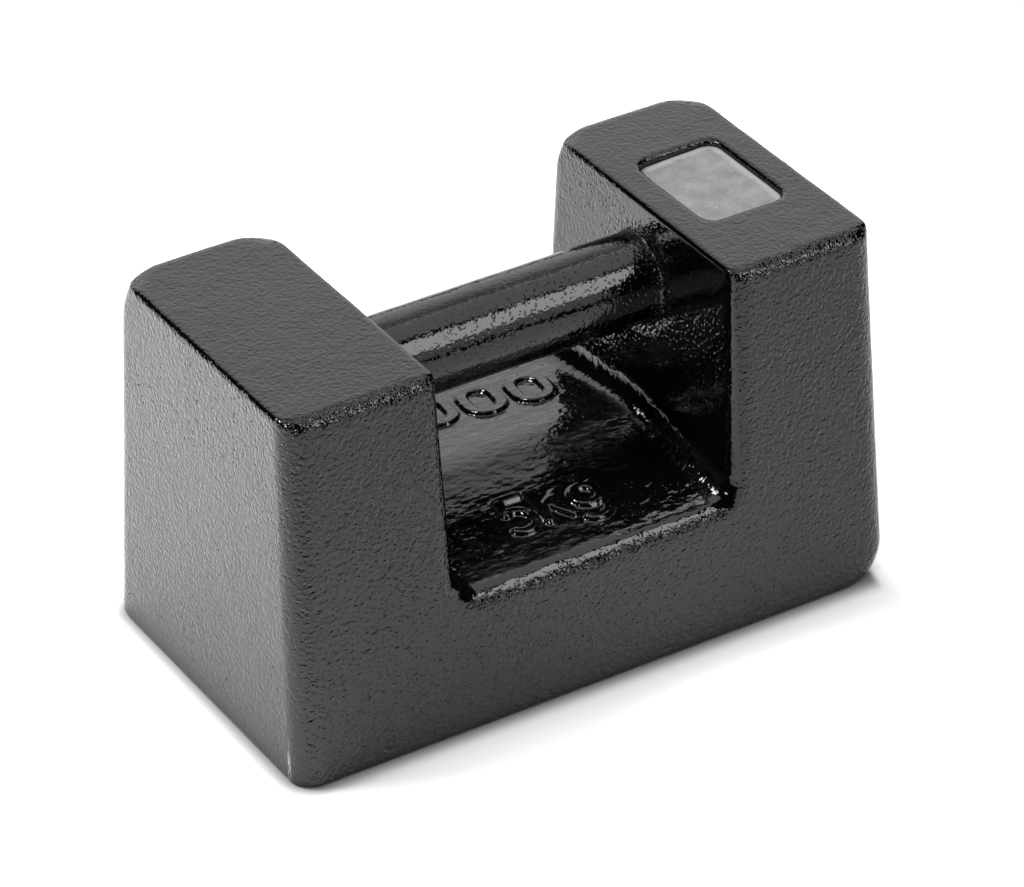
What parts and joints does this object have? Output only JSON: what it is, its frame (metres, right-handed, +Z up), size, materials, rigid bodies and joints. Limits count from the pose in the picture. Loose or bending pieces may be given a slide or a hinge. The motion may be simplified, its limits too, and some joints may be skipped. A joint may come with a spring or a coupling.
{
  "type": "calibration weight",
  "caption": "Rectangular cast-iron calibration weight of 5 kg with a cast-in grip bar, raised figures and a lead-sealed adjusting cavity.",
  "frame": {"origin": "middle of the flat base, on the surface it stands on", "axes": "+X along the length towards the upright with the lead seal, +Y across the width, away from the face that the 5kg figures are nearest to, +Z up"},
  "size_m": [0.148, 0.0818, 0.0861],
  "materials": {
    "black_enamel": "gloss black enamel over as-cast iron",
    "lead_shot": "dull grey lead",
    "mild_steel": "plain rolled steel",
    "lead": "dull grey hammered lead"
  },
  "bodies": {
    "root": {"cast_body": "black_enamel", "adjusting_shot": "lead_shot", "closure_plate": "mild_steel", "lead_seal": "lead"}
  },
  "joints": []
}
